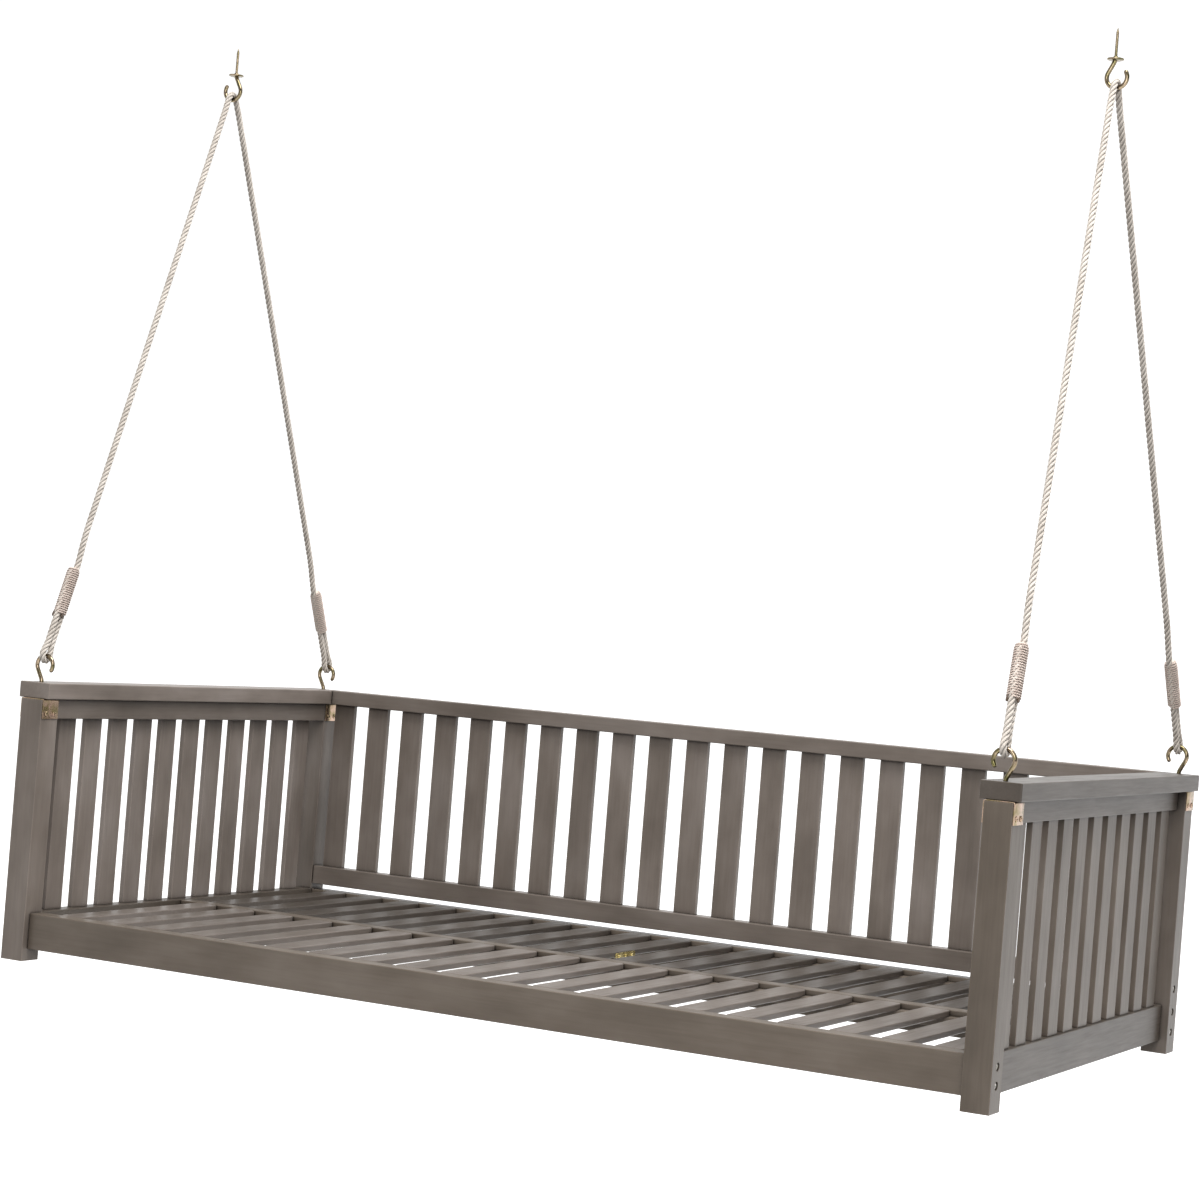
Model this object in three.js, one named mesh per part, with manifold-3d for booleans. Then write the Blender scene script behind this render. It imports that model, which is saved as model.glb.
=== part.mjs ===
// A slatted daybed porch swing hung on two ropes. Each rope passes over a ceiling screw hook, and
// each of its ends is turned back round a screw hook on the bed and seized with cord.
// Millimetres, +Z up, +X along the bench, the open front faces -Y.
// The pieces are placed in bench coordinates: x from the outer face of the left posts, y from the
// front face of the front posts, z from the foot of the posts. The outer group then moves the
// origin to the ceiling plane, midway between the two ceiling hooks.
import * as THREE from "three";
import { mergeVertices } from "three/addons/utils/BufferGeometryUtils.js";
import Module from "manifold-3d";

const wasm = await Module();
wasm.setup();

// Driving dimensions
const LENGTH = 2010; // over the outer faces of the posts
const DEPTH = 1050;
const POST = 50; // square section
const POST_TOP = 503;
const CAP = { z0: 505, z1: 536, overhang: 11, width: 72, setback: 5 };
const RAIL = 35; // thickness of the seat rails and arm rails
const RAIL_FACE = 14; // setback of the front rail from the post face
const RAIL_Z = { foot: 23, top: 92 };
const CENTRE_RAIL = { y0: 508, foot: 44 };
const BOLT = { r: 7.5, depth: 9, inset: 26 }; // counterbores in the posts' outer faces
const BOLT_HEIGHTS = { front: [76, 45], back: [123, 79, 40] };
const BACK_RAIL = { y0: 1003, y1: 1038, z0: 104, z1: 144 };
const TOP_RAIL = { y0: 1006, y1: 1045 };
const APRON_Z = { foot: 24, top: 93 };
const ARM_RAIL_FOOT = 467;
const SLAT = { width: 50, thick: 11 }; // of the arms and the back
const BACK_SLATS = { count: 22, first: 64.4, pitch: 87.2, y0: 1020 };
const ARM_SLATS = { count: 11, inset: 21 }; // inset of their outer face from the post's
const SEAT_SLATS = { count: 20, first: 95, pitch: 94.4, thick: 11 };
const LEDGER = 20; // square batten under the ends of the seat slats
const STRAP = { thick: 2, foot: 467 };
const WIRE_R = 4.1; // of the screw hooks
const RING = { r: 18.7, height: 33.5, shankOffset: 5 }; // ring centre above the wood, shank to one side
const THREAD = { r: 3, length: 55 };
const HOOK_INSET = { x: 25, y: 25 }; // shank of a bed hook from the bench's corner
const ROPE_R = 6.5;
const ROPE_GAP = 1.65; // running clearance between rope and hook wire
const SEIZING = { r: 13.3, from: 85, to: 183 }; // distances up the rope from the hook wire
const EYE_SPREAD = { from: 36, to: 6 }; // the rope's two parts open round the hook between these
const APEX = { x: 66.7, y: 438 }; // ceiling hook, from the left outer face and the front face
const CEILING = 1797;
const CUT_BELOW_WIRE = 30; // height of the pivot where a rope's bight meets its two legs
const CUT_GAP = 0.8; // half of the gap left there
const COLLAR = { r: 15, thick: 3 };

const WOOD = new THREE.MeshStandardMaterial({ color: 0x7b756e, roughness: 0.75, metalness: 0 });
const SEAT_WOOD = new THREE.MeshStandardMaterial({ color: 0x8f8a84, roughness: 0.78, metalness: 0 });
const ZINC = new THREE.MeshStandardMaterial({ color: 0x8c7c50, roughness: 0.35, metalness: 0.9 });
const STRAP_ZINC = new THREE.MeshStandardMaterial({ color: 0xb7a58c, roughness: 0.4, metalness: 0.85 });
const ROPE = new THREE.MeshStandardMaterial({ color: 0xd9cfc0, roughness: 0.9, metalness: 0 });

const part = new THREE.Group();
const bench = new THREE.Group();
bench.position.set(-LENGTH / 2, -APEX.y, -CEILING);
part.add(bench);

function place(name, geometry, material) {
  const mesh = new THREE.Mesh(geometry, material);
  mesh.name = name;
  bench.add(mesh);
}

// Solids, for joining and cutting
function solidOf(geometry) {
  const bare = new THREE.BufferGeometry();
  bare.setAttribute("position", geometry.getAttribute("position"));
  bare.setIndex(geometry.index);
  const merged = mergeVertices(bare, 1e-3);
  return new wasm.Manifold(
    new wasm.Mesh({
      numProp: 3,
      vertProperties: merged.attributes.position.array,
      triVerts: new Uint32Array(merged.index.array),
    }),
  );
}

function geometryOf(solid) {
  const mesh = solid.getMesh();
  const geometry = new THREE.BufferGeometry();
  geometry.setAttribute("position", new THREE.BufferAttribute(mesh.vertProperties, 3));
  geometry.setIndex(new THREE.BufferAttribute(mesh.triVerts, 1));
  return geometry;
}

function join(geometries) {
  return geometryOf(geometries.map(solidOf).reduce((a, b) => a.add(b)));
}

function cut(geometry, cutters) {
  return geometryOf(cutters.map(solidOf).reduce((a, b) => a.subtract(b), solidOf(geometry)));
}

// Basic shapes in bench coordinates
function board(x0, x1, y0, y1, z0, z1) {
  const geometry = new THREE.BoxGeometry(x1 - x0, y1 - y0, z1 - z0);
  return geometry.translate((x0 + x1) / 2, (y0 + y1) / 2, (z0 + z1) / 2);
}

function rod(from, to, radius, sides) {
  const along = new THREE.Vector3().subVectors(to, from);
  const geometry = new THREE.CylinderGeometry(radius, radius, along.length(), sides);
  const turn = new THREE.Quaternion().setFromUnitVectors(
    new THREE.Vector3(0, 1, 0),
    along.clone().normalize(),
  );
  geometry.applyQuaternion(turn);
  const middle = new THREE.Vector3().addVectors(from, to).multiplyScalar(0.5);
  return geometry.translate(middle.x, middle.y, middle.z);
}

function tube(points, radius, sides, steps) {
  const section = new THREE.Shape();
  for (let i = 0; i < sides; i++) {
    const a = (2 * Math.PI * i) / sides;
    if (i === 0) section.moveTo(radius * Math.cos(a), radius * Math.sin(a));
    else section.lineTo(radius * Math.cos(a), radius * Math.sin(a));
  }
  section.closePath();
  const path = new THREE.CatmullRomCurve3(points, false, "centripetal");
  return new THREE.ExtrudeGeometry(section, { extrudePath: path, steps, bevelEnabled: false });
}

// Posts, with counterbores for the rail bolts in their outer faces
function post(side, row) {
  const x0 = side === "left" ? 0 : LENGTH - POST;
  const y0 = row === "front" ? 0 : DEPTH - POST;
  const outer = side === "left" ? 0 : LENGTH;
  const inward = side === "left" ? 1 : -1;
  const boltY = row === "front" ? BOLT.inset : DEPTH - BOLT.inset;
  const bores = BOLT_HEIGHTS[row].map((z) => {
    const mouth = new THREE.Vector3(outer - inward, boltY, z);
    const floor = new THREE.Vector3(outer + BOLT.depth * inward, boltY, z);
    return rod(mouth, floor, BOLT.r, 16);
  });
  bores.push(hookBore(side, row, CAP.z0 - THREAD.length));
  place(
    `post_${row}_${side}`,
    cut(board(x0, x0 + POST, y0, y0 + POST, 0, POST_TOP), bores),
    WOOD,
  );
}

// The pilot hole of a bed hook, from the given height up through the top of the cap
function hookBore(side, row, foot) {
  const x = side === "left" ? HOOK_INSET.x : LENGTH - HOOK_INSET.x;
  const y = row === "front" ? HOOK_INSET.y : DEPTH - HOOK_INSET.y;
  const reach = [new THREE.Vector3(x, y, foot), new THREE.Vector3(x, y, CAP.z1 + 1)];
  return rod(...reach, WIRE_R + 0.4, 12);
}

function armCap(side) {
  const x0 = side === "left" ? -CAP.overhang : LENGTH + CAP.overhang - CAP.width;
  const blank = board(x0, x0 + CAP.width, CAP.setback, DEPTH - CAP.setback, CAP.z0, CAP.z1);
  const bores = ["front", "back"].map((row) => hookBore(side, row, CAP.z0 - 1));
  place(`arm_cap_${side}`, cut(blank, bores), WOOD);
}

// An arm's upper rail with its slats tenoned into it
function armPanel(side) {
  const railX = side === "left" ? [15, 15 + RAIL] : [LENGTH - 15 - RAIL, LENGTH - 15];
  const slatX =
    side === "left"
      ? [ARM_SLATS.inset, ARM_SLATS.inset + SLAT.thick]
      : [LENGTH - ARM_SLATS.inset - SLAT.thick, LENGTH - ARM_SLATS.inset];
  const span = DEPTH - 2 * POST;
  const gap = (span - ARM_SLATS.count * SLAT.width) / (ARM_SLATS.count + 1);
  const boards = [board(...railX, POST, DEPTH - POST, ARM_RAIL_FOOT, CAP.z0)];
  for (let i = 0; i < ARM_SLATS.count; i++) {
    const y = POST + gap + i * (SLAT.width + gap);
    boards.push(board(...slatX, y, y + SLAT.width, APRON_Z.top, ARM_RAIL_FOOT + 10));
  }
  place(`arm_panel_${side}`, join(boards), WOOD);
  place(`arm_apron_${side}`, board(...railX, POST, DEPTH - POST, APRON_Z.foot, APRON_Z.top), WOOD);
}

// One half of the seat: slats flush with the rails' tops, joined by the two ledgers under them
function seatDeck(name, y0, y1) {
  const x0 = POST;
  const x1 = LENGTH - POST;
  const slatFoot = RAIL_Z.top - SEAT_SLATS.thick;
  const boards = [
    board(x0, x1, y0, y0 + LEDGER, slatFoot - LEDGER, slatFoot + 2),
    board(x0, x1, y1 - LEDGER, y1, slatFoot - LEDGER, slatFoot + 2),
  ];
  for (let i = 0; i < SEAT_SLATS.count; i++) {
    const x = SEAT_SLATS.first + i * SEAT_SLATS.pitch;
    boards.push(board(x, x + SLAT.width, y0, y1, slatFoot, RAIL_Z.top));
  }
  // The ledgers stand 2 mm into the slats so that they join, and the rest of that is planed off
  const planing = [];
  for (let i = 0; i <= SEAT_SLATS.count; i++) {
    const a = i === 0 ? x0 - 1 : SEAT_SLATS.first + (i - 1) * SEAT_SLATS.pitch + SLAT.width;
    const b = i === SEAT_SLATS.count ? x1 + 1 : SEAT_SLATS.first + i * SEAT_SLATS.pitch;
    planing.push(board(a, b, y0 - 1, y1 + 1, slatFoot, slatFoot + 3));
  }
  place(name, cut(join(boards), planing), SEAT_WOOD);
}

// A U-strap folded over the top of a post
function strap(side, row) {
  const x0 = side === "left" ? 0 : LENGTH - POST;
  const y0 = row === "front" ? 0 : DEPTH - POST;
  const t = STRAP.thick;
  const plates = [
    board(x0 - t, x0 + POST + t, y0, y0 + POST, POST_TOP, CAP.z0),
    board(x0 - t, x0, y0, y0 + POST, STRAP.foot, POST_TOP + 1),
    board(x0 + POST, x0 + POST + t, y0, y0 + POST, STRAP.foot, POST_TOP + 1),
  ];
  const folded = cut(join(plates), [hookBore(side, row, POST_TOP - 1)]);
  place(`post_strap_${row}_${side}`, folded, STRAP_ZINC);
}

// A wire screw hook in the plane y = 0. Its shank rises from the origin and its ring's centre is
// above; "inward" is +1 when the mouth of the ring opens towards +X.
function screwHook(inward) {
  const centre = new THREE.Vector2(inward * RING.shankOffset, RING.height);
  const points = [new THREE.Vector3(0, 0, 0), new THREE.Vector3(0, 0, 4)];
  for (let a = 205; a >= -28; a -= 12) {
    const angle = (a * Math.PI) / 180;
    points.push(
      new THREE.Vector3(
        centre.x + inward * RING.r * Math.cos(angle),
        0,
        centre.y + RING.r * Math.sin(angle),
      ),
    );
  }
  const ring = tube(points, WIRE_R, 8, 30);
  const thread = rod(new THREE.Vector3(0, 0, -THREAD.length), new THREE.Vector3(0, 0, 2), THREAD.r, 8);
  return [ring, thread];
}

function bedHook(side, row) {
  const x = side === "left" ? HOOK_INSET.x : LENGTH - HOOK_INSET.x;
  const y = row === "front" ? HOOK_INSET.y : DEPTH - HOOK_INSET.y;
  const solids = screwHook(side === "left" ? 1 : -1).map((g) => g.translate(x, y, CAP.z1));
  place(`bed_hook_${row}_${side}`, join(solids), ZINC);
}

// The same hook hung from the ceiling by its thread, with a collar against the ceiling
function ceilingHook(side) {
  const inward = side === "left" ? 1 : -1;
  const ringX = side === "left" ? APEX.x : LENGTH - APEX.x;
  const collar = rod(new THREE.Vector3(0, 0, 0), new THREE.Vector3(0, 0, COLLAR.thick), COLLAR.r, 20);
  const solids = [...screwHook(inward), collar].map((g) =>
    g.rotateY(Math.PI).translate(ringX + inward * RING.shankOffset, APEX.y, CEILING),
  );
  place(`ceiling_hook_${side}`, join(solids), ZINC);
}

// Rope. In the side view a leg is the tangent from a bed hook's wire to the circle that the rope
// turns about the ceiling hook's wire.
const WIRE_Z = CEILING - RING.height - RING.r; // lowest wire of a ceiling hook
const EYE_WIRE_Z = CAP.z1 + RING.height + RING.r; // highest wire of a bed hook
const TURN_R = WIRE_R + ROPE_R + ROPE_GAP;
const CUT_Z = WIRE_Z - CUT_BELOW_WIRE;

function legLine(row) {
  const away = row === "front" ? -1 : 1;
  const hookY = row === "front" ? HOOK_INSET.y : DEPTH - HOOK_INSET.y;
  const run = Math.abs(APEX.y - hookY);
  const rise = WIRE_Z - EYE_WIRE_Z;
  const lean = Math.atan2(run, rise) - Math.asin(TURN_R / Math.hypot(run, rise));
  const slope = Math.tan(lean);
  const yAt = (z) => hookY - away * slope * (z - EYE_WIRE_Z);
  return { away, lean, yAt };
}

function ropeEnds(side, row) {
  const line = legLine(row);
  const topX = side === "left" ? APEX.x : LENGTH - APEX.x;
  const ringX = HOOK_INSET.x + RING.shankOffset;
  const bottomX = side === "left" ? ringX : LENGTH - ringX;
  const top = new THREE.Vector3(topX, line.yAt(CUT_Z), CUT_Z);
  const bottom = new THREE.Vector3(bottomX, line.yAt(EYE_WIRE_Z), EYE_WIRE_Z);
  const along = new THREE.Vector3().subVectors(top, bottom).normalize();
  return { top, bottom, along };
}

function ropeBight(side) {
  const x = side === "left" ? APEX.x : LENGTH - APEX.x;
  const front = legLine("front");
  const back = legLine("back");
  const onArc = (angle) =>
    new THREE.Vector3(x, APEX.y - TURN_R * Math.cos(angle), WIRE_Z + TURN_R * Math.sin(angle));
  const footOf = (line) => {
    const z = CUT_Z + CUT_GAP * Math.cos(line.lean);
    return new THREE.Vector3(x, line.yAt(z), z);
  };
  const points = [footOf(front)];
  points.push(new THREE.Vector3().lerpVectors(footOf(front), onArc(front.lean), 0.6));
  for (let i = 0; i <= 10; i++) {
    points.push(onArc(front.lean + ((Math.PI - back.lean - front.lean) * i) / 10));
  }
  points.push(new THREE.Vector3().lerpVectors(footOf(back), onArc(Math.PI - back.lean), 0.6));
  points.push(footOf(back));
  place(`rope_bight_${side}`, tube(points, ROPE_R, 10, 24), ROPE);
}

function ropeLeg(side, row) {
  const { top, bottom, along } = ropeEnds(side, row);
  const foot = bottom.clone().addScaledVector(along, SEIZING.to + 0.3);
  const head = top.clone().addScaledVector(along, -CUT_GAP);
  place(`rope_leg_${row}_${side}`, rod(foot, head, ROPE_R, 12), ROPE);
}

// The eye round the hook wire and the seizing above it, which is one stiff lump
function seizedEye(side, row) {
  const { bottom, along } = ropeEnds(side, row);
  const across = new THREE.Vector3(1, 0, 0).cross(along).normalize();
  const at = (up, out) => bottom.clone().addScaledVector(along, up).addScaledVector(across, out);
  const beside = ROPE_R + 0.2; // where both parts of the rope lie side by side
  const down = [[SEIZING.from + 6, beside]];
  for (let i = 0; i <= 4; i++) {
    const s = i / 4;
    const ease = s * s * (3 - 2 * s);
    const up = EYE_SPREAD.from + s * (EYE_SPREAD.to - EYE_SPREAD.from);
    down.push([up, beside + ease * (TURN_R - beside)]);
  }
  const points = down.map(([up, out]) => at(up, out));
  for (let i = 0; i <= 8; i++) {
    const angle = (Math.PI * i) / 8;
    points.push(at(-TURN_R * Math.sin(angle), TURN_R * Math.cos(angle)));
  }
  down.reverse().forEach(([up, out]) => points.push(at(up, -out)));
  const loop = tube(points, ROPE_R, 10, 36);
  const seizing = rod(at(SEIZING.from, 0), at(SEIZING.to, 0), SEIZING.r, 16);
  place(`seized_eye_${row}_${side}`, join([loop, seizing]), ROPE);
}

for (const side of ["left", "right"]) {
  for (const row of ["front", "back"]) {
    post(side, row);
    strap(side, row);
    bedHook(side, row);
    ropeLeg(side, row);
    seizedEye(side, row);
  }
  armCap(side);
  armPanel(side);
  ceilingHook(side);
  ropeBight(side);
}

const inner = [POST, LENGTH - POST];
const capInner = CAP.width - CAP.overhang;
const seatRails = {
  seat_rail_front: [RAIL_FACE, RAIL_FACE + RAIL, RAIL_Z.foot],
  seat_rail_centre: [CENTRE_RAIL.y0, CENTRE_RAIL.y0 + RAIL, CENTRE_RAIL.foot],
  seat_rail_back: [BACK_RAIL.y0, BACK_RAIL.y1, RAIL_Z.foot],
};
for (const [name, [y0, y1, foot]] of Object.entries(seatRails)) {
  place(name, board(...inner, y0, y1, foot, RAIL_Z.top), WOOD);
}
seatDeck("seat_deck_front", RAIL_FACE + RAIL, CENTRE_RAIL.y0);
seatDeck("seat_deck_back", CENTRE_RAIL.y0 + RAIL, BACK_RAIL.y0);

place(
  "back_rail_bottom",
  board(...inner, BACK_RAIL.y0, BACK_RAIL.y1, BACK_RAIL.z0, BACK_RAIL.z1),
  WOOD,
);
place(
  "back_rail_top",
  board(capInner, LENGTH - capInner, TOP_RAIL.y0, TOP_RAIL.y1, CAP.z0, CAP.z1),
  WOOD,
);
for (let i = 0; i < BACK_SLATS.count; i++) {
  const x = BACK_SLATS.first + i * BACK_SLATS.pitch;
  place(
    `back_slat_${String(i + 1).padStart(2, "0")}`,
    board(x, x + SLAT.width, BACK_SLATS.y0, BACK_SLATS.y0 + SLAT.thick, BACK_RAIL.z1, CAP.z0),
    WOOD,
  );
}

export default part;
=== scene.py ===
"""A slatted daybed swing hung on two laid ropes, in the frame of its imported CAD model.

Lengths are in metres in the model's frame: the origin is in the ceiling plane, midway between the
two ceiling hooks, +Z up, +X to the right end of the bed, +Y towards its back.
"""

import math
import random

import bmesh
import bpy
from mathutils import Matrix, Vector


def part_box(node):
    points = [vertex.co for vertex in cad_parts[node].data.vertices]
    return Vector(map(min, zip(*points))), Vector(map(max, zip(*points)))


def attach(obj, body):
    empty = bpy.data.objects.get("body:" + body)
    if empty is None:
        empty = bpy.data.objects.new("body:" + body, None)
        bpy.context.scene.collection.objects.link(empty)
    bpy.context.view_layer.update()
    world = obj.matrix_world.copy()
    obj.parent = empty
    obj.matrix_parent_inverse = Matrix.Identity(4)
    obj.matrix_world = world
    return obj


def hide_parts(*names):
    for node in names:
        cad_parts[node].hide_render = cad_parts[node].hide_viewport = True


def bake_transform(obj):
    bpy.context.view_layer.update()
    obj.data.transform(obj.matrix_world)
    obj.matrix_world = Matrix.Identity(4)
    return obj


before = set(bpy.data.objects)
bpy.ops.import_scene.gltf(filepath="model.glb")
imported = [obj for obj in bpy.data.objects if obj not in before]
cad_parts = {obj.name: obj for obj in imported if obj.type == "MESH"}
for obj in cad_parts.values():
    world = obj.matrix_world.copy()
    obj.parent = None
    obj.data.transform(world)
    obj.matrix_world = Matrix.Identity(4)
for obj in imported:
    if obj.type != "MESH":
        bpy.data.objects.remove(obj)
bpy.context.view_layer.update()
scene = bpy.context.scene
scene.view_settings.view_transform = "Standard"
MM = 0.001

# Dimensions shared with the CAD model, in millimetres. On the bed, x is measured from the outer faces
# of its left posts, y from its front and z from its feet.
LENGTH = 2010
DEPTH = 1050
CEILING = 1797
CAP_TOP = 536
POST = 50
SEAT_TOP = 92
SLAT_WIDTH = 50
SEAT_SLATS = {"count": 20, "first": 95, "pitch": 94.4, "thick": 11}
ARM_SLATS = {"count": 11, "inset": 21, "thick": 11}
ARM_RAIL_FOOT = 467
LEDGER = 20
BOLT_INSET = 26
BOLT_HEIGHTS = {"front": (76, 45), "back": (123, 79, 40)}
BORE_DEPTH = 9
APEX_X = 66.7  # of a ceiling hook's wire, in from the end of the bed
APEX_Y = 438
HOOK_INSET = 25  # of a bed hook's shank from the faces of its post
RING_R = 18.7  # of a hook's ring, to the middle of the wire
RING_HEIGHT = 33.5  # of the ring's middle above the wood
SHANK_OFFSET = 5  # of the ring's middle beside the shank
WIRE_R = 4.1
ROPE_R = 6.5
ROPE_GAP = 1.65  # between a rope and the ceiling hook's wire
CUT_BELOW_WIRE = 30  # where a rope's legs leave the bight over the hook
SEIZING_R = 13.3
SEIZING_FROM = 85  # distances up a rope from the bed hook's wire
SEIZING_TO = 183

# Finer detail of the visible pieces, in millimetres
EYE_SPREAD = {"from": 26, "to": 3}  # distances up the rope over which an eye opens
EYE_GAP = 0.4  # between an eye and the bed hook's wire
SLAT_END = {"corner": 9, "clear": 1.8}
MAIN_ARRIS = 1.6
CAP_ARRIS = 2.0
SLAT_ARRIS = {"seat": 1.8, "arm": 0.6, "back": 0.9}

SIDES = ("left", "right")
ROWS = ("front", "back")


def at(x, y, z):
    """A point given in the bed's own millimetres, in the model's frame."""
    return Vector(((x - LENGTH / 2) * MM, (y - APEX_Y) * MM, (z - CEILING) * MM))


def mirrored(side, x):
    """The x that lies as far in from one end of the bed as x does from the left end."""
    return x if side == "left" else LENGTH - x


def inward(side):
    """The sign of x towards the middle of the bed."""
    return 1 if side == "left" else -1


def hook_y(row):
    """The y of a bed hook's shank."""
    return HOOK_INSET if row == "front" else DEPTH - HOOK_INSET


# ---------------------------------------------------------------- camera
def add_camera():
    """A long lens at the front right, a little above the arms and slightly rolled."""
    data = bpy.data.cameras.new("camera")
    data.lens = 86.14
    data.sensor_width = 36
    data.clip_end = 100
    yaw, pitch, roll = 0.4787, -0.0051, 0.0801
    forward = Vector(
        (
            -math.sin(yaw) * math.cos(pitch),
            math.cos(yaw) * math.cos(pitch),
            -math.sin(pitch),
        )
    )
    right = Vector((math.cos(yaw), math.sin(yaw), 0))
    up = right.cross(forward)
    x_axis = math.cos(roll) * right + math.sin(roll) * up
    y_axis = -math.sin(roll) * right + math.cos(roll) * up
    matrix = Matrix((x_axis, y_axis, -forward)).transposed().to_4x4()
    matrix.translation = at(3523.6, -4410, 752)
    camera = bpy.data.objects.new("camera", data)
    camera.matrix_world = matrix
    scene.collection.objects.link(camera)
    scene.camera = camera


add_camera()


# ---------------------------------------------------------------- mesh helpers
def new_object(name, mesh):
    obj = bpy.data.objects.new(name, mesh)
    scene.collection.objects.link(obj)
    return obj


def normals_along(points):
    """A pair of untwisted normals at each of a line of points."""
    n = len(points)
    tangents = []
    for i in range(n):
        a = points[max(i - 1, 0)]
        b = points[min(i + 1, n - 1)]
        tangents.append((b - a).normalized())
    side = tangents[0].orthogonal().normalized()
    sides = [side]
    for i in range(1, n):
        turn = tangents[i - 1].rotation_difference(tangents[i])
        side = turn @ side
        side = (side - tangents[i] * side.dot(tangents[i])).normalized()
        sides.append(side)
    ups = [t.cross(s) for t, s in zip(tangents, sides)]
    return sides, ups


def even_points(points, step):
    """Points a fixed step apart along a polyline."""
    lengths = [0.0]
    for a, b in zip(points, points[1:]):
        lengths.append(lengths[-1] + (b - a).length)
    count = max(2, round(lengths[-1] / step))
    out = []
    k = 0
    for i in range(count + 1):
        s = lengths[-1] * i / count
        while k < len(points) - 2 and lengths[k + 1] < s:
            k += 1
        span = lengths[k + 1] - lengths[k]
        out.append(points[k].lerp(points[k + 1], (s - lengths[k]) / span if span else 0))
    return out


def smooth(points, passes):
    """The points, each drawn towards its neighbours, with both ends held."""
    points = list(points)
    for _ in range(passes):
        points = (
            points[:1]
            + [(a + 2 * b + c) / 4 for a, b, c in zip(points, points[1:], points[2:])]
            + points[-1:]
        )
    return points


def swept(bm, points, section, uv_layer=None):
    """Adds to bm the closed skin of a section swept along points. section(i, s) gives the ring of
    (across, up) offsets at point i, s metres along. The UVs are metres along and turns round."""
    sides, ups = normals_along(points)
    rings = []
    along = [0.0]
    for a, b in zip(points, points[1:]):
        along.append(along[-1] + (b - a).length)
    for i, p in enumerate(points):
        ring = [bm.verts.new(p + sides[i] * x + ups[i] * y) for x, y in section(i, along[i])]
        rings.append(ring)
    m = len(rings[0])
    for i in range(len(rings) - 1):
        for j in range(m):
            k = (j + 1) % m
            face = bm.faces.new((rings[i][j], rings[i][k], rings[i + 1][k], rings[i + 1][j]))
            face.smooth = True
            if uv_layer is not None:
                uvs = [
                    (along[i], j / m),
                    (along[i], (j + 1) / m),
                    (along[i + 1], (j + 1) / m),
                    (along[i + 1], j / m),
                ]
                for loop, uv in zip(face.loops, uvs):
                    loop[uv_layer].uv = uv
    bm.faces.new(rings[0][::-1])
    bm.faces.new(rings[-1])


def unit_ring(sides):
    """Points round a circle of radius 1."""
    angles = [2 * math.pi * j / sides for j in range(sides)]
    return [(math.cos(a), math.sin(a)) for a in angles]


def mesh_from(name, bm):
    """A mesh with the faces of bm, which is used up."""
    mesh = bpy.data.meshes.new(name)
    bmesh.ops.recalc_face_normals(bm, faces=bm.faces)
    bm.to_mesh(mesh)
    bm.free()
    return mesh


def soften(obj, width, angle):
    """Rounds the edges of a piece that turn by more than angle degrees, width millimetres back."""
    edge = obj.modifiers.new("arris", "BEVEL")
    edge.width = width * MM
    edge.segments = 2
    edge.limit_method = "ANGLE"
    edge.angle_limit = math.radians(angle)


def ease(s):
    """From 0 to 1 as s is, starting and ending gently."""
    return s * s * (3 - 2 * s)


# ---------------------------------------------------------------- rope routes
WIRE_Z = CEILING - RING_HEIGHT - RING_R
EYE_WIRE_Z = CAP_TOP + RING_HEIGHT + RING_R
TURN_R = WIRE_R + ROPE_R + ROPE_GAP
BESIDE = ROPE_R + 0.15  # of each part of a rope from the middle of its seizing
JOIN_RISE = 90  # over which the standing part comes in line above the seizing
EYE_TURN_R = WIRE_R + ROPE_R + EYE_GAP
CUT_Z = WIRE_Z - CUT_BELOW_WIRE


def leg_line(row):
    """A leg in the side view: +1 or -1 away from the apex, its lean, and y at a height."""
    away = -1 if row == "front" else 1
    foot = hook_y(row)
    run = abs(APEX_Y - foot)
    rise = WIRE_Z - EYE_WIRE_Z
    lean = math.atan2(run, rise) - math.asin(TURN_R / math.hypot(run, rise))
    return away, lean, lambda z: foot - away * math.tan(lean) * (z - EYE_WIRE_Z)


def leg_ends(side, row):
    """The top and bottom of a leg's axis, the unit vector up it and the one across it."""
    _, _, y_at = leg_line(row)
    top = at(mirrored(side, APEX_X), y_at(CUT_Z), CUT_Z)
    ring_x = mirrored(side, HOOK_INSET + SHANK_OFFSET)
    bottom = at(ring_x, y_at(EYE_WIRE_Z), EYE_WIRE_Z)
    along = (top - bottom).normalized()
    across = Vector((1, 0, 0)).cross(along).normalized()
    return top, bottom, along, across


def half_rope(side, row):
    """The rope from its tail in the seizing, round the hook and up to the cut below the ceiling."""
    top, bottom, along, across = leg_ends(side, row)
    away, _, _ = leg_line(row)
    tail_side = -away  # the tail lies outside the standing part

    def point(up, out):
        return bottom + along * (up * MM) + across * (out * MM)

    points = [point(SEIZING_TO - 8, tail_side * BESIDE), point(SEIZING_FROM, tail_side * BESIDE)]
    spread = EYE_SPREAD["from"] - EYE_SPREAD["to"]
    opening = []
    for i in range(9):
        s = i / 8
        opening.append((EYE_SPREAD["from"] - s * spread, BESIDE + ease(s) * (EYE_TURN_R - BESIDE)))
    points += [point(up, tail_side * out) for up, out in opening]
    for i in range(16):
        angle = math.pi * i / 15
        out = tail_side * EYE_TURN_R * math.cos(angle)
        points.append(point(-EYE_TURN_R * math.sin(angle), out))
    points += [point(up, -tail_side * out) for up, out in opening[::-1]]
    joined = SEIZING_TO - 6
    points.append(point(joined, -tail_side * BESIDE))
    for i in range(1, 9):
        s = i / 8
        points.append(point(joined + JOIN_RISE * s, -tail_side * BESIDE * (1 - ease(s))))
    points.append(top)
    return points


def bight(side):
    """The rope over the ceiling hook's wire, from the front leg to the back leg."""
    x = mirrored(side, APEX_X)
    _, front, _ = leg_line("front")
    _, back, _ = leg_line("back")
    points = []
    for i in range(17):
        angle = front + (math.pi - back - front) * i / 16
        points.append(
            at(x, APEX_Y - TURN_R * math.cos(angle), WIRE_Z + TURN_R * math.sin(angle))
        )
    return points


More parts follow.
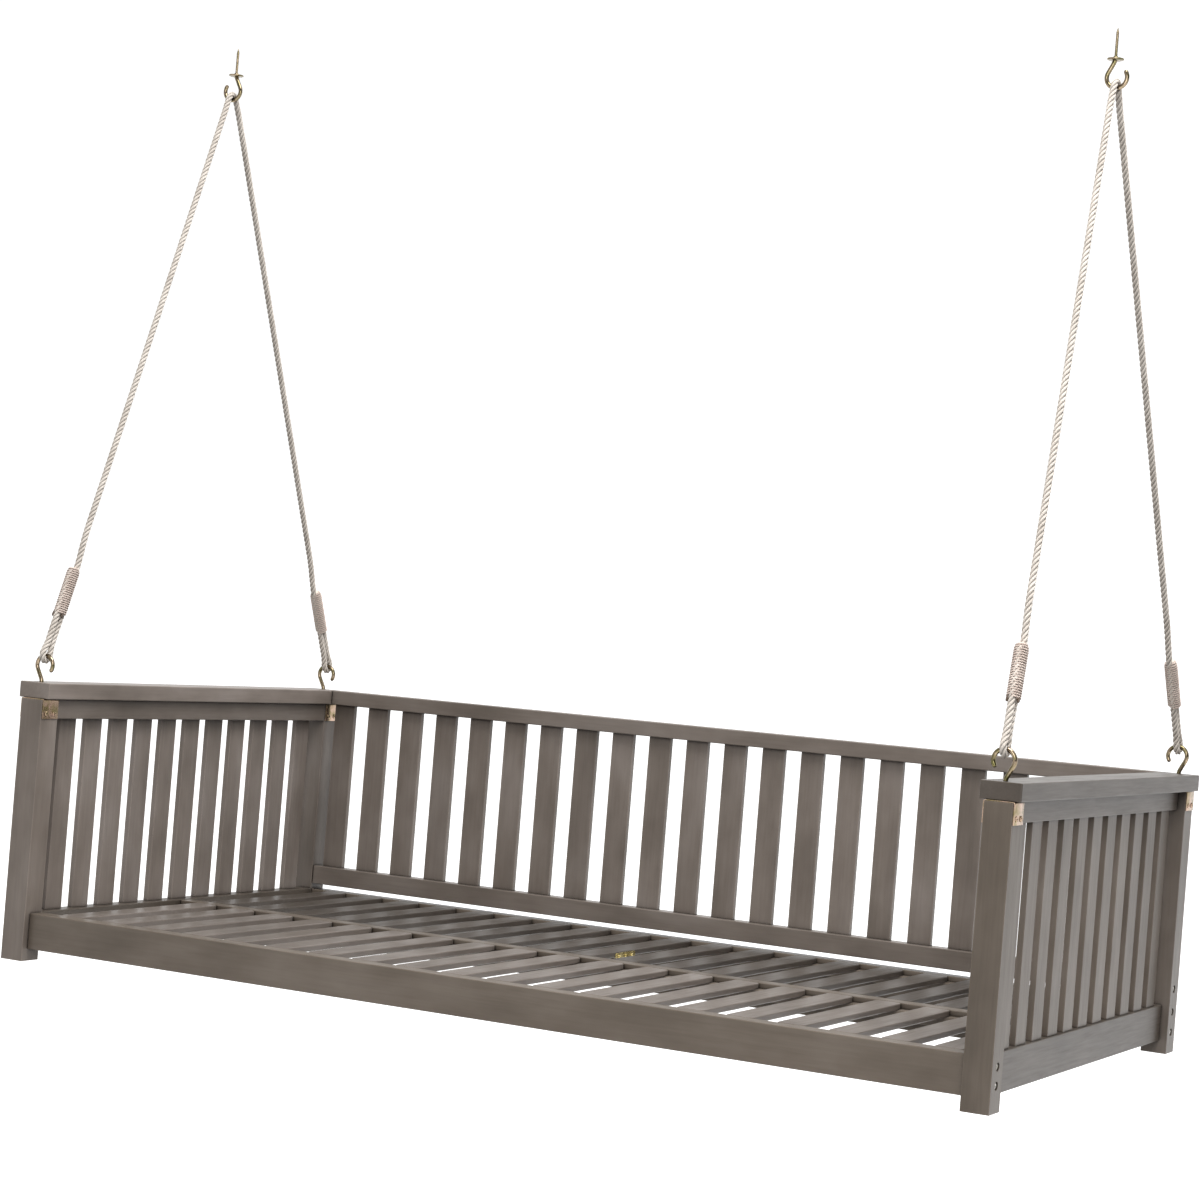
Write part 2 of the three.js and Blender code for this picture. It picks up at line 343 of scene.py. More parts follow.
def rope_route(side):
    """A whole rope's centre line, from its front tail to its back one."""
    points = half_rope(side, "front") + bight(side) + half_rope(side, "back")[::-1]
    return smooth(even_points(points, 0.003), 4)


STRANDS = 4
LAY = 43 * MM  # one turn of the rope's strands
LOBE = 3.3 * MM  # a strand's centre from the rope's
STRAND_R = 3.2 * MM


def laid_section(strands, offset, strand_r, lay, sides, hand=1):
    """The outline of a rope laid from round strands, turning once in each lay."""
    outline = []
    for j in range(sides):
        a = 2 * math.pi * j / sides
        best = 0
        for k in range(strands):
            b = a - 2 * math.pi * k / strands
            across = offset * math.sin(b)
            if abs(across) < strand_r:
                best = max(best, offset * math.cos(b) + math.sqrt(strand_r**2 - across**2))
        outline.append((a, best))

    def section(i, s):
        turn = hand * 2 * math.pi * s / lay
        return [(r * math.cos(a + turn), r * math.sin(a + turn)) for a, r in outline]

    return section


def add_rope(side):
    """One rope, standing for its CAD bight, legs and eyes, with its centre line."""
    route = rope_route(side)
    bm = bmesh.new()
    uv = bm.loops.layers.uv.new("along")
    swept(bm, route, laid_section(STRANDS, LOBE, STRAND_R, LAY, 32), uv)
    rope = new_object(f"rope_{side}", mesh_from(f"rope_{side}", bm))
    nodes = [f"rope_bight_{side}"]
    for row in ROWS:
        nodes += [f"rope_leg_{row}_{side}", f"seized_eye_{row}_{side}"]
    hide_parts(*nodes)
    return rope, route


# ---------------------------------------------------------------- seizings
SEIZING_CORD = 4.2 * MM  # its thickness
SEIZING_PITCH = 4.35 * MM  # from turn to turn up the rope
CORD = {"strands": 3, "lobe": 0.95 * MM, "strand_r": 1.15 * MM, "lay": 12 * MM}
SHOULDER = {"turns": 2.0, "drawn_in": 3.0 * MM}  # the last turns, at the top


def add_seizing(side, row):
    """Turns of laid cord round both parts of the rope, drawn in over the top."""
    _, bottom, along, across = leg_ends(side, row)
    other = along.cross(across)
    foot, head = SEIZING_FROM * MM, SEIZING_TO * MM
    cord_r = SEIZING_CORD / 2
    turns = (head - foot - SEIZING_CORD) / SEIZING_PITCH
    steps = int(turns * 28)
    points = []
    for i in range(steps + 1):
        t = i / steps
        z = foot + cord_r + (head - foot - SEIZING_CORD) * t
        up_shoulder = 1 - min(1, (1 - t) * turns / SHOULDER["turns"])
        wide = SEIZING_R * MM - cord_r - SHOULDER["drawn_in"] * up_shoulder**1.6
        a = 2 * math.pi * turns * t
        points.append(
            bottom
            + along * z
            + across * (wide * math.cos(a))
            + other * (wide * 0.97 * math.sin(a))
        )
    bm = bmesh.new()
    uv = bm.loops.layers.uv.new("along")
    cord = laid_section(CORD["strands"], CORD["lobe"], CORD["strand_r"], CORD["lay"], 15, -1)
    swept(bm, points, cord, uv)
    core = [bottom + along * (foot + 1.5 * MM), bottom + along * (head - 1.0 * MM)]
    core = even_points(core, 0.012)
    last = len(core) - 1
    ring = unit_ring(24)

    def core_section(i, s):
        r = (SEIZING_R * MM - SEIZING_CORD) * (0.72 if i == last else 1) + 0.6 * MM
        return [(r * x, r * y) for x, y in ring]

    swept(bm, core, core_section, uv)
    if row == "front":
        add_cord_ends(bm, uv, bottom + along * foot, along, across, other)
    name = f"seizing_{row}_{side}"
    seizing = new_object(name, mesh_from(name, bm))
    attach(seizing, f"{side}_ropes")
    return seizing


def add_cord_ends(bm, uv, foot, along, across, other):
    """The two ends of the seizing's cord, melted to brown stubs, under its lowest turn."""
    ring = unit_ring(12)
    widths = (2.1, 2.2, 2.5, 2.6, 2.1, 0.8)
    for out, aside in ((9.0, -7.2), (4.0, 10.5)):
        place = foot + across * (out * MM) + other * (aside * MM)
        stub = [place + along * (z * MM) for z in (3.0, 0.5, -2.0, -4.4, -6.2, -7.0)]
        before = len(bm.faces)
        swept(bm, stub, lambda i, s: [(widths[i] * MM * x, widths[i] * MM * y) for x, y in ring], uv)
        bm.faces.ensure_lookup_table()
        for face in bm.faces[before:]:
            face.material_index = 1


def add_cords():
    """Both ropes and their seizings."""
    ropes, seizings = [], []
    for side in SIDES:
        rope, route = add_rope(side)
        pair = [add_seizing(side, row) for row in ROWS]
        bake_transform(rope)
        ropes.append(rope)
        seizings += pair
    return ropes, seizings


ropes, seizings = add_cords()


# ---------------------------------------------------------------- material helpers
class Nodes:
    """A few short cuts for building a node tree."""

    def __init__(self, name):
        self.material = bpy.data.materials.new(name)
        self.material.use_nodes = True
        self.tree = self.material.node_tree
        self.shader = self.tree.nodes["Principled BSDF"]

    def add(self, kind, inputs=None, **settings):
        node = self.tree.nodes.new(kind)
        for key, value in settings.items():
            setattr(node, key, value)
        for key, value in (inputs or {}).items():
            self.put(node.inputs[key], value)
        return node

    def put(self, socket, value):
        if isinstance(value, bpy.types.NodeSocket):
            self.tree.links.new(value, socket)
        else:
            socket.default_value = value

    def math(self, operation, a, b=0.0, c=0.0):
        node = self.add("ShaderNodeMath", operation=operation)
        for socket, value in zip(node.inputs, (a, b, c)):
            self.put(socket, value)
        return node.outputs[0]

    def noise(self, vector, scale, detail=4.0, roughness=0.55, distortion=0.0):
        node = self.add(
            "ShaderNodeTexNoise",
            {
                "Vector": vector,
                "Scale": scale,
                "Detail": detail,
                "Roughness": roughness,
                "Distortion": distortion,
            },
        )
        return node.outputs["Fac"]

    def ramp(self, factor, stops):
        node = self.add("ShaderNodeValToRGB", {"Fac": factor})
        elements = node.color_ramp.elements
        while len(elements) < len(stops):
            elements.new(0.5)
        for element, (place, value) in zip(elements, stops):
            element.position = place
            rgb = value if hasattr(value, "__len__") else (value, value, value)
            element.color = (*rgb, 1)
        return node.outputs["Color"]

    def mix(self, factor, a, b, blend="MIX"):
        node = self.add("ShaderNodeMix", data_type="RGBA", blend_type=blend)
        for socket, value in ((node.inputs[0], factor), (node.inputs[6], a), (node.inputs[7], b)):
            self.put(socket, value if not isinstance(value, tuple) else (*value, 1))
        return node.outputs[2]

    def scaled(self, vector, scale):
        node = self.add("ShaderNodeMapping", {"Vector": vector, "Scale": scale})
        return node.outputs["Vector"]

    def bump(self, height, strength, distance):
        node = self.add(
            "ShaderNodeBump", {"Height": height, "Strength": strength, "Distance": distance}
        )
        self.put(self.shader.inputs["Normal"], node.outputs["Normal"])
        return node

    def set(self, **values):
        for key, value in values.items():
            self.put(self.shader.inputs[key.replace("_", " ")], value)


# ---------------------------------------------------------------- materials
STAIN_DARK = (0.098, 0.078, 0.060)
STAIN = (0.135, 0.109, 0.086)
STAIN_LIGHT = (0.172, 0.143, 0.117)
STAIN_COOL = (0.98, 1.02, 1.12)


def wood(name, grain_axis):
    """Grey-brown stain on smooth timber whose grain runs along one axis of the row frame, with
    painted shade in its corners and joints and painted highlights along its arrises.
    """
    n = Nodes(name)
    place = n.add("ShaderNodeTexCoord").outputs["Object"]
    info = n.add("ShaderNodeObjectInfo")
    tint = n.add("ShaderNodeSeparateColor", {"Color": info.outputs["Color"]})
    tone, phase, warmth = tint.outputs[0], tint.outputs[1], tint.outputs[2]
    shift = n.math("MULTIPLY", phase, 7.3)
    offset = n.add("ShaderNodeCombineXYZ", {"X": shift, "Y": shift, "Z": shift}).outputs[0]
    vector = n.add("ShaderNodeVectorMath", operation="ADD")
    n.put(vector.inputs[0], place)
    n.put(vector.inputs[1], offset)
    vector = vector.outputs[0]
    stretch, soft = [1.0] * 3, [1.0] * 3
    stretch["XYZ".index(grain_axis)] = 0.045
    soft["XYZ".index(grain_axis)] = 0.5
    along = n.scaled(vector, stretch)
    clouds = n.noise(n.scaled(vector, soft), 11.0, 3.0, 0.5)
    grain = n.noise(along, 210.0, 5.0, 0.62, 0.3)
    rings = n.noise(along, 38.0, 2.0, 0.5, 1.2)
    pores = n.noise(along, 900.0, 2.0, 0.5)
    warm = n.ramp(clouds, [(0.26, STAIN_DARK), (0.5, STAIN), (0.74, STAIN_LIGHT)])
    cool = n.mix(1.0, warm, STAIN_COOL, "MULTIPLY")
    base = n.mix(warmth, cool, warm)
    streak = n.ramp(grain, [(0.3, 0.91), (0.52, 1.0), (0.72, 1.05)])
    ring = n.ramp(rings, [(0.35, 0.965), (0.5, 1.0), (0.7, 1.025)])
    color = n.mix(1.0, n.mix(1.0, base, streak, "MULTIPLY"), ring, "MULTIPLY")
    # The kind's tone, partly painted light and shade, scales the board's colour
    gain = n.math("MULTIPLY_ADD", tone, 1.20, 0.40)
    gain = n.add("ShaderNodeCombineXYZ", {"X": gain, "Y": gain, "Z": gain}).outputs[0]
    color = n.mix(1.0, color, gain, "MULTIPLY")
    # Painted shade darkens the corners and the joints between boards, where the stain also pools a
    # little
    for reach, full, dark in ((0.040, 0.32, 0.62), (0.006, 0.46, 0.28)):
        corner = n.add("ShaderNodeAmbientOcclusion", {"Distance": reach}, samples=5)
        corner_shade = n.ramp(corner.outputs["AO"], [(full, dark), (0.84, 1.0)])
        color = n.mix(1.0, color, corner_shade, "MULTIPLY")
    # Along the arrises the colour is lightened, partly as wear of the stain and partly as a painted
    # highlight where the rounded edges catch the light
    arris = n.add("ShaderNodeAmbientOcclusion", {"Distance": 0.0035}, samples=5, inside=True)
    arris_wear_and_highlight = n.ramp(arris.outputs["AO"], [(0.45, 1.45), (0.82, 1.0)])
    color = n.mix(1.0, color, arris_wear_and_highlight, "MULTIPLY")
    rough = n.ramp(grain, [(0.3, 0.42), (0.7, 0.32)])
    n.set(Base_Color=color, Roughness=rough, IOR=1.47, Specular_IOR_Level=0.28)
    height = n.math("MULTIPLY_ADD", pores, 0.4, grain)
    n.bump(height, 0.14, 0.0005)
    return n.material


# The tone and warmth of each kind of board, from 0 to 1. A board's name starts with its kind. The
# tones are partly the stain's own and partly painted light and shade: the back half of the seat, the
# aprons, the right cap and the front right post are made darker, and the left arm and cap, the front
# left post, the back slats and the ledgers lighter, for how the light falls on them.
BOARD_TONE_AND_SHADE = {
    "seat_rail": (0.47, 1.0),
    "seat_slat_front": (0.56, 0.1),
    "seat_slat_back": (0.04, 0.5),
    "seat_ledger": (0.60, 1.0),
    "post_front_left": (0.79, 0.2),
    "post_front_right": (0.40, 1.0),
    "post_back": (0.50, 0.3),
    "arm_apron": (0.05, 1.0),
    "arm_rail": (0.45, 0.3),
    "arm_cap_left": (0.88, 0.0),
    "arm_cap_right": (0.17, 0.6),
    "arm_slat_left": (0.80, 0.0),
    "arm_slat_right": (0.53, 0.7),
    "back_slat": (0.67, 0.15),
    "back_rail": (0.58, 0.2),
}


TONE_SPREAD = 0.13


def tone_board(obj, name):
    """Gives a board its kind's tone and warmth, a little off, and its own stretch of grain. The
    kind's tone is partly painted light and shade.
    """
    dice = random.Random(name)
    off, phase = dice.random() - 0.5, dice.random()
    kind = next(kind for kind in BOARD_TONE_AND_SHADE if name.startswith(kind))
    tone, warmth = BOARD_TONE_AND_SHADE[kind]
    obj.color = (max(0, tone + TONE_SPREAD * off), phase, warmth, 1)


def rope_material(name, strands, low, high):
    """Laid fibre: yarns lying across the turn of the strands, with fuzz, faint stains and painted
    shade between the yarns, strands and turns.
    """
    n = Nodes(name)
    uv = n.add("ShaderNodeUVMap", uv_map="along").outputs["UV"]
    place = n.add("ShaderNodeTexCoord").outputs["Object"]
    parts = n.add("ShaderNodeSeparateXYZ", {"Vector": uv})
    run = n.math("MULTIPLY", parts.outputs[0], 2 * math.pi * 260)
    turn = n.math("MULTIPLY", parts.outputs[1], 2 * math.pi * 15)
    yarn = n.math("SINE", n.math("ADD", run, turn))
    yarn = n.math("MULTIPLY_ADD", yarn, 0.5, 0.5)
    fuzz = n.noise(place, 1400.0, 3.0, 0.6)
    stain = n.noise(place, 26.0, 3.0, 0.55)
    color = n.ramp(stain, [(0.3, low), (0.7, high)])
    shade = n.ramp(yarn, [(0.0, 0.72), (0.45, 1.0)])
    color = n.mix(1.0, color, shade, "MULTIPLY")
    # Painted shade in the grooves between the strands, between the turns and in the hollows
    crown = n.math("COSINE", n.math("MULTIPLY", parts.outputs[1], 2 * math.pi * strands))
    groove_shade = n.ramp(n.math("MULTIPLY_ADD", crown, 0.5, 0.5), [(0.04, 0.48), (0.34, 1.0)])
    color = n.mix(1.0, color, groove_shade, "MULTIPLY")
    hollow = n.add("ShaderNodeAmbientOcclusion", {"Distance": 0.004}, samples=6)
    hollow_shade = n.ramp(hollow.outputs["AO"], [(0.24, 0.24), (0.64, 1.0)])
    color = n.mix(1.0, color, hollow_shade, "MULTIPLY")
    n.set(Base_Color=color, Roughness=0.88, IOR=1.4)
    n.shader.inputs["Sheen Weight"].default_value = 0.15
    n.shader.inputs["Sheen Roughness"].default_value = 0.5
    height = n.math("MULTIPLY_ADD", fuzz, 0.5, yarn)
    n.bump(height, 0.6, 0.0006)
    return n.material


def melted():
    """Rope fibre melted to a hard brown bead."""
    n = Nodes("melted_fibre")
    place = n.add("ShaderNodeTexCoord").outputs["Object"]
    spots = n.noise(place, 700.0, 3.0, 0.6)
    color = n.ramp(spots, [(0.35, (0.030, 0.018, 0.010)), (0.7, (0.12, 0.075, 0.045))])
    n.set(Base_Color=color, Roughness=0.4, IOR=1.5)
    n.bump(spots, 0.4, 0.0006)
    return n.material


def zinc(name, tint, gold, rough):
    """Chromated zinc plate: a metal that shifts between straw and green."""
    n = Nodes(name)
    place = n.add("ShaderNodeTexCoord").outputs["Object"]
    bands = n.noise(place, 60.0, 2.0, 0.5, 0.8)
    fine = n.noise(place, 900.0, 2.0, 0.5)
    color = n.ramp(bands, [(0.32, tint), (0.66, gold)])
    # Painted shade in the recesses and round the heads
    hollow = n.add("ShaderNodeAmbientOcclusion", {"Distance": 0.002}, samples=6)
    recess_shade = n.ramp(hollow.outputs["AO"], [(0.45, 0.10), (0.85, 1.0)])
    color = n.mix(1.0, color, recess_shade, "MULTIPLY")
    finish = n.ramp(fine, [(0.3, rough * 0.8), (0.7, rough * 1.25)])
    n.set(Base_Color=color, Metallic=1.0, Roughness=finish)
    n.bump(fine, 0.06, 0.0003)
    return n.material


WOOD = {axis: wood(f"stained_wood_{axis.lower()}", axis) for axis in "XYZ"}
ROPE = rope_material("rope_cream", STRANDS, (0.56, 0.50, 0.44), (0.76, 0.695, 0.625))
SEIZING = rope_material("seizing_cream", CORD["strands"], (0.80, 0.645, 0.56), (0.96, 0.81, 0.715))
MELTED = melted()
HOOK_ZINC = zinc("hook_zinc", (0.11, 0.10, 0.04), (0.28, 0.215, 0.15), 0.13)
STRAP_ZINC = zinc("strap_zinc", (0.25, 0.205, 0.10), (0.48, 0.335, 0.26), 0.28)
BOLT_ZINC = zinc("bolt_zinc", (0.46, 0.44, 0.38), (0.62, 0.60, 0.56), 0.34)
PLATE_ZINC = zinc("plate_zinc", (0.52, 0.40, 0.12), (0.74, 0.62, 0.30), 0.24)


def give(obj, material):
    obj.data.materials.append(material)


for rope in ropes:
    give(rope, ROPE)
for seizing in seizings:
    give(seizing, SEIZING)
    give(seizing, MELTED)


# ---------------------------------------------------------------- timber
def dress(node, axis, bevel=MAIN_ARRIS):
    """Rounds the arrises of a CAD board and stains it."""
    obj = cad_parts[node]
    for slot in obj.material_slots:
        slot.link = "OBJECT"
        slot.material = WOOD[axis]
    weld = obj.modifiers.new("weld", "WELD")
    weld.merge_threshold = 0.00002
    soften(obj, bevel, 50)
    tone_board(obj, node)


def board(name, low, high, axis, slot, bevel, corner=0):
    """A separate board of the bed, given by its corners, with its arrises rounded. A corner radius
    rounds its corners in plan."""
    bm = bmesh.new()
    bmesh.ops.create_cube(bm, size=1)
    size = [b - a for a, b in zip(low, high)]
    middle = [(a + b) / 2 for a, b in zip(low, high)]
    for v in bm.verts:
        v.co = Vector([m + s * c for m, s, c in zip(middle, size, v.co)])
    if corner:
        upright = [e for e in bm.edges if abs(e.verts[0].co.z - e.verts[1].co.z) > size[2] / 2]
        bmesh.ops.bevel(
            bm, geom=upright, offset=corner * MM, segments=5, profile=0.5, affect="EDGES"
        )
    bmesh.ops.bevel(
        bm, geom=bm.edges[:], offset=bevel * MM, segments=2, profile=0.5, affect="EDGES"
    )
    for face in bm.faces:
        face.smooth = False
    obj = new_object(name, mesh_from(name, bm))
    give(obj, WOOD[axis])
    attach(obj, "bed")
    tone_board(obj, name)
    return obj


for rail in ("seat_rail_front", "seat_rail_centre", "seat_rail_back", "back_rail_bottom"):
    dress(rail, "X")
dress("back_rail_top", "X", CAP_ARRIS)
for side in SIDES:
    dress(f"arm_cap_{side}", "Y", CAP_ARRIS)
    dress(f"arm_apron_{side}", "Y")
    for row in ROWS:
        dress(f"post_{row}_{side}", "Z")
for i in range(22):
    dress(f"back_slat_{i + 1:02d}", "Z", SLAT_ARRIS["back"])


def add_seat(row):
    """The slats and ledgers of one half of the seat, each a board of its own."""
    node = f"seat_deck_{row}"
    low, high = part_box(node)
    slat_foot = at(0, 0, SEAT_TOP - SEAT_SLATS["thick"]).z
    clear = SLAT_END["clear"] * MM
    for i in range(SEAT_SLATS["count"]):
        x = at(SEAT_SLATS["first"] + i * SEAT_SLATS["pitch"], 0, 0).x
        name = f"seat_slat_{row}_{i + 1:02d}"
        corners = (x, low.y + clear, slat_foot), (x + SLAT_WIDTH * MM, high.y - clear, high.z)
        rounding = SLAT_ARRIS["seat"], SLAT_END["corner"]
        board(name, *corners, "Y", "seat_wood", *rounding)
    for k, y in enumerate((low.y, high.y - LEDGER * MM)):
        corners = (low.x, y, low.z), (high.x, y + LEDGER * MM, slat_foot)
        board(f"seat_ledger_{row}_{k + 1}", *corners, "X", "seat_wood", 0.9)
    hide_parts(node)


def add_arm(side):
    """The upper rail of an arm and the slats tenoned into it."""
    node = f"arm_panel_{side}"
    low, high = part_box(node)
    rail_foot = at(0, 0, ARM_RAIL_FOOT).z
    outer = at(mirrored(side, ARM_SLATS["inset"]), 0, 0).x
    x0, x1 = sorted((outer, outer + inward(side) * ARM_SLATS["thick"] * MM))
    corners = (low.x, low.y, rail_foot), high
    rail = board(f"arm_rail_{side}", *corners, "Y", "frame_wood", MAIN_ARRIS)
    count = ARM_SLATS["count"]
    gap = (DEPTH - 2 * POST - count * SLAT_WIDTH) / (count + 1)
    for i in range(count):
        y = at(0, POST + gap + i * (SLAT_WIDTH + gap), 0).y
        corners = (x0, y, low.z), (x1, y + SLAT_WIDTH * MM, rail_foot)
        name = f"arm_slat_{side}_{i + 1:02d}"
        board(name, *corners, "Z", "frame_wood", SLAT_ARRIS["arm"])
    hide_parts(node)


for row in ROWS:
    add_seat(row)
for side in SIDES:
    add_arm(side)


# ---------------------------------------------------------------- hooks
THREAD = {"core": 2.45, "crest": 3.0, "pitch": 2.4, "length": 55, "point": 9}
COLLAR_R = 15  # of the ceiling hooks only
COLLAR_THICK = 3


def hook_line(way):
    """The wire of an open screw hook, from the wood round to its tip, in millimetres."""
    line = [(0, -4), (0, 0), (0, 3.5)]
    for a in range(198, -44, -6):
        angle = math.radians(a)
        x = SHANK_OFFSET + RING_R * math.cos(angle)
        line.append((way * x, RING_HEIGHT + RING_R * math.sin(angle)))
    return line


def hook_wire(bm, line):
    """The bent wire, with its tip rounded off."""
    points = smooth(even_points(line, 0.0016), 6)
    last = len(points) - 1
    ring = unit_ring(20)

    def section(i, s):
        left = last - i
        blunt = math.sqrt(1 - (1 - (left + 0.4) / 3) ** 2) if left < 2.6 else 1
        return [(WIRE_R * MM * blunt * x, WIRE_R * MM * blunt * y) for x, y in ring]

    swept(bm, points, section)


def hook_thread(bm, start, end):
    """A wood-screw thread: one ridge wound round a core that ends in a point."""
    points = even_points([start, end], 0.0005)
    length = (end - start).length

    def section(i, s):
        ring = []
        narrow = min(1, (length - s) / (THREAD["point"] * MM) + 0.06)
        for j in range(20):
            a = 2 * math.pi * j / 20
            phase = (s / (THREAD["pitch"] * MM) + j / 20) % 1
            ridge = max(0, 1 - abs(phase - 0.5) / 0.24)
            r = THREAD["core"] + (THREAD["crest"] - THREAD["core"]) * ridge
            ring.append((r * narrow * MM * math.cos(a), r * narrow * MM * math.sin(a)))
        return ring

    swept(bm, points, section)


def turned(bm, top, axis, profile, sides=40):
    """A solid of revolution about an axis, from (radius, distance along it) points."""
    side = axis.orthogonal().normalized()
    other = axis.cross(side)
    spokes = [side * x + other * y for x, y in unit_ring(sides)]
    rings = []
    for r, z in profile:
        middle = top + axis * (z * MM)
        rings.append([bm.verts.new(middle + spoke * (r * MM)) for spoke in spokes])
    for low, high in zip(rings, rings[1:]):
        for j in range(sides):
            k = (j + 1) % sides
            bm.faces.new((low[j], low[k], high[k], high[j])).smooth = True
    bm.faces.new(rings[0][::-1])
    bm.faces.new(rings[-1])


def add_hook(name, node, body, origin, way, up):
    """A screw hook; up is +1 on the bed and -1 where it hangs from the ceiling."""
    bm = bmesh.new()
    line = [origin + Vector((x * up * MM, 0, z * up * MM)) for x, z in hook_line(way)]
    hook_wire(bm, line)
    axis = Vector((0, 0, -up))
    hook_thread(bm, origin - axis * MM, origin + axis * (THREAD["length"] * MM))
    if up < 0:
        edge = COLLAR_R - 0.8
        profile = [(4, -COLLAR_THICK - 1.4), (6.5, -COLLAR_THICK), (edge - 1, -COLLAR_THICK)]
        profile += [(edge, -COLLAR_THICK + 0.4), (COLLAR_R, -COLLAR_THICK + 1.3)]
        turned(bm, origin, axis, profile + [(COLLAR_R, -0.4), (edge + 0.4, 0)])
    obj = new_object(name, mesh_from(name, bm))
    give(obj, HOOK_ZINC)
    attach(obj, body)
    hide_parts(node)


for side in SIDES:
    way = inward(side)
    for row in ROWS:
        foot = at(mirrored(side, HOOK_INSET), hook_y(row), CAP_TOP)
        add_hook(f"screw_hook_{row}_{side}", f"bed_hook_{row}_{side}", "bed", foot, way, 1)
    head = at(mirrored(side, APEX_X) + way * SHANK_OFFSET, APEX_Y, CEILING)
    add_hook(f"screw_hook_{side}", f"ceiling_hook_{side}", "ceiling_hooks", head, way, -1)


# ---------------------------------------------------------------- straps, screws and bolts
STRAP_THICK = 2
STRAP_FOLD = 3.4  # outer radius of a strap's folds
STRAP_RECESS = 1.6  # of its edges behind the post's faces
STRAP_SCREWS = {"inset": 13.5, "height": 477}


def add_strap(row, side):
    """A zinc plate folded over a post's top and down both of its sides."""
    node = f"post_strap_{row}_{side}"
    low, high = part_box(node)
    thick, fold = STRAP_THICK * MM, STRAP_FOLD * MM
    outer, inner = [(low.x, low.z)], [(low.x + thick, low.z)]
    for middle, first in ((low.x + fold, 180), (high.x - fold, 90)):
        for i in range(7):
            a = math.radians(first - 15 * i)
            u = Vector((math.cos(a), math.sin(a)))
            outer.append((middle + fold * u.x, high.z - fold + fold * u.y))
            inner.append(
                (middle + (fold - thick) * u.x, high.z - fold + (fold - thick) * u.y)
            )
    outer.append((high.x, low.z))
    inner.append((high.x - thick, low.z))
    outline = outer + inner[::-1]
    bm = bmesh.new()
    recess = STRAP_RECESS * MM
    ends = []
    for y in (low.y + recess, high.y - recess):
        ends.append([bm.verts.new((x, y, z)) for x, z in outline])
    n = len(outline)
    for j in range(n):
        k = (j + 1) % n
        face = bm.faces.new((ends[0][j], ends[0][k], ends[1][k], ends[1][j]))
        face.smooth = 0 < j < n / 2 - 1 or n / 2 < j < n - 1
    half = len(outer)
    for ring in ends:
        for j in range(half - 1):
            bm.faces.new((ring[j], ring[j + 1], ring[n - 2 - j], ring[n - 1 - j]))
    strap = new_object(f"strap_{row}_{side}", mesh_from(node, bm))
    soften(strap, 0.35, 60)
    give(strap, STRAP_ZINC)
    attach(strap, "bed")
    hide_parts(node)


def cross_recess(u, v):
    """How far a point of a head, in radii, lies inside a cross-shaped recess."""
    u, v = abs(u), abs(v)
    return min(1, max(min(0.66 - u, 0.17 - v), min(0.17 - u, 0.66 - v), 0) / 0.05)


def hex_recess(u, v):
    """The same for a hexagonal socket."""
    angles = (0, math.pi / 3, 2 * math.pi / 3)
    reach = max(abs(u * math.cos(a) + v * math.sin(a)) for a in angles)
    return min(1, max(0.42 - reach, 0) / 0.05)


# Each kind of head, with the depth of the recess in its crown, in millimetres
STRAP_SCREW = {
    "radius": 5.2,
    "height": 2.4,
    "recess": cross_recess,
    "depth": 2.0,
    "finish": STRAP_ZINC,
}
PLATE_SCREW = {
    "radius": 3.8,
    "height": 1.4,
    "recess": cross_recess,
    "depth": 1.2,
    "finish": PLATE_ZINC,
}
BOLT = {
    "radius": 6.9,
    "height": 8.0,
    "recess": hex_recess,
    "depth": 3.2,
    "finish": BOLT_ZINC,
}


def add_head(name, base, outward, radius, height, recess, depth, finish):
    """A round screw or bolt head on its base point, turned to a chance angle."""
    rings, spokes = 16, 60
    across = Vector((0, 1, 0))
    upward = outward.cross(across)
    spin = random.Random(name).uniform(0, math.pi)
    bm = bmesh.new()
    skin = []
    for i in range(1, rings + 1):
        r = i / rings
        ring = []
        for j in range(spokes):
            a = 2 * math.pi * j / spokes
            crown = height * (1 - 0.35 * r * r) * math.sqrt(max(0, 1 - r**10))
            crown -= depth * recess(r * math.cos(a + spin), r * math.sin(a + spin))
            flat = across * math.cos(a) + upward * math.sin(a)
            ring.append(bm.verts.new(base + flat * (r * radius * MM) + outward * (crown * MM)))
        skin.append(ring)
    middle = bm.verts.new(base + outward * ((height - depth) * MM))
    for j in range(spokes):
        k = (j + 1) % spokes
        bm.faces.new((middle, skin[0][j], skin[0][k])).smooth = True
        for low, high in zip(skin, skin[1:]):
            bm.faces.new((low[j], high[j], high[k], low[k])).smooth = True
    bm.faces.new(skin[-1][::-1])
    obj = new_object(name, mesh_from(name, bm))
    give(obj, finish)
    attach(obj, "bed")


def add_post_hardware(row, side):
    """The strap over a post, its screws, and the bolts in the post's outer face."""
    add_strap(row, side)
    low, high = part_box(f"post_strap_{row}_{side}")
    middle = (low.y + high.y) / 2
    reach = (POST / 2 - STRAP_SCREWS["inset"]) * MM
    z = at(0, 0, STRAP_SCREWS["height"]).z
    number = 0
    for x, way in ((low.x, -1), (high.x, 1)):
        for y in (middle - reach, middle + reach):
            number += 1
            name = f"strap_screw_{row}_{side}_{number}"
            place, out = Vector((x, y, z)), Vector((way, 0, 0))
            add_head(name, place, out, **STRAP_SCREW)
    y = BOLT_INSET if row == "front" else DEPTH - BOLT_INSET
    for number, z in enumerate(BOLT_HEIGHTS[row], 1):
        seat = at(mirrored(side, BORE_DEPTH), y, z)
        out = Vector((-inward(side), 0, 0))
        name = f"bolt_{row}_{side}_{number}"
        add_head(name, seat, out, **BOLT)


PLATE = {"slat": 10, "y": (650, 735), "z": (66, 90), "thick": 1.6, "corner": 5}
PLATE_SCREWS = {"inset": 14, "height": 83}


